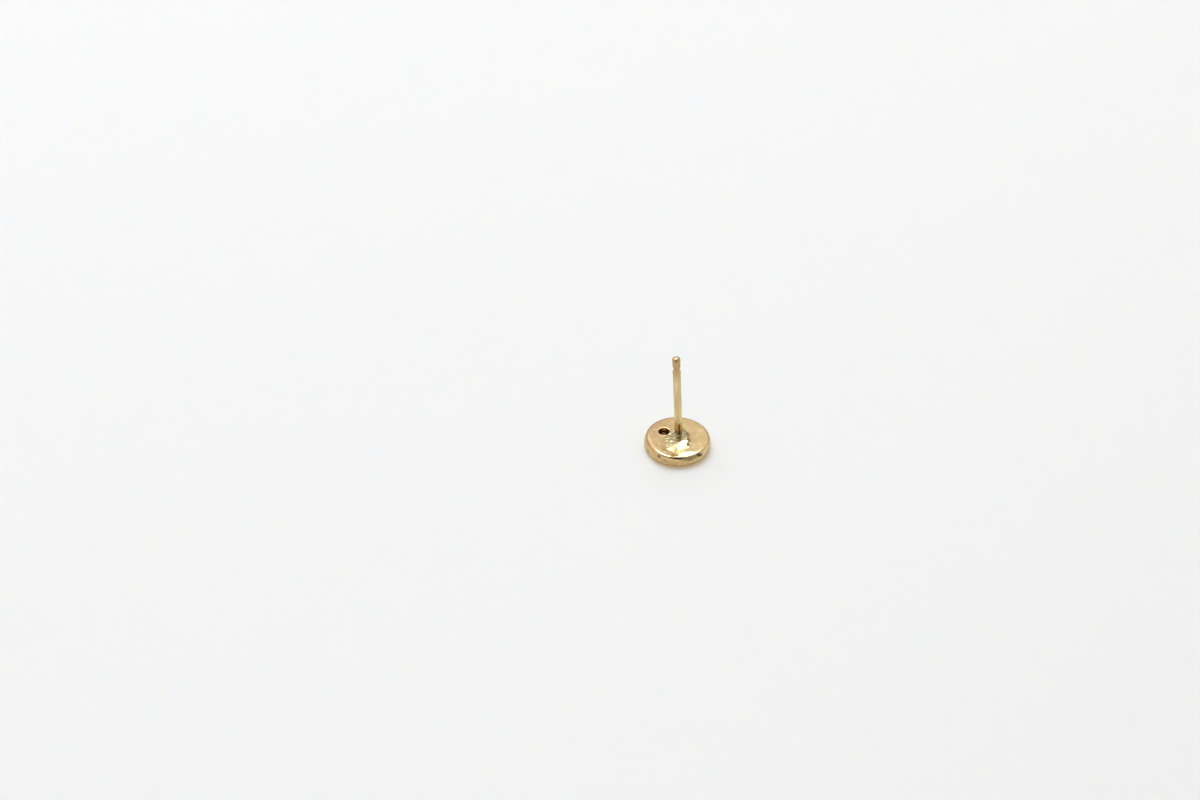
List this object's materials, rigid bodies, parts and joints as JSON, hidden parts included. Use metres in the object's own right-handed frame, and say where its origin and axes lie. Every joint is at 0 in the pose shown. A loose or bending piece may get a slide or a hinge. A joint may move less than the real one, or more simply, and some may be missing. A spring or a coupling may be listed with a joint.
{
  "type": "diamond stud earring",
  "caption": "Round gold disc stud earring with a small diamond set flush and off centre in its face, and a grooved straight post for a friction clutch.",
  "frame": {"origin": "centre of the disc's front face, on the surface that the stud lies on face down", "axes": "+Z out of the disc's back, along the disc's axis and towards the post's tip; +Y from the disc's centre towards the side where the post and the stone stand; +X to the right, with the stone on the -X side"},
  "size_m": [0.007, 0.007, 0.0117],
  "materials": {
    "gold": "hand-polished yellow gold, 14 karat, with satin tool marks on the post and paler rough solder at its foot",
    "diamond": "clear round brilliant, polished facets"
  },
  "bodies": {
    "root": {"disc_with_post": "gold", "diamond": "diamond"}
  },
  "joints": []
}
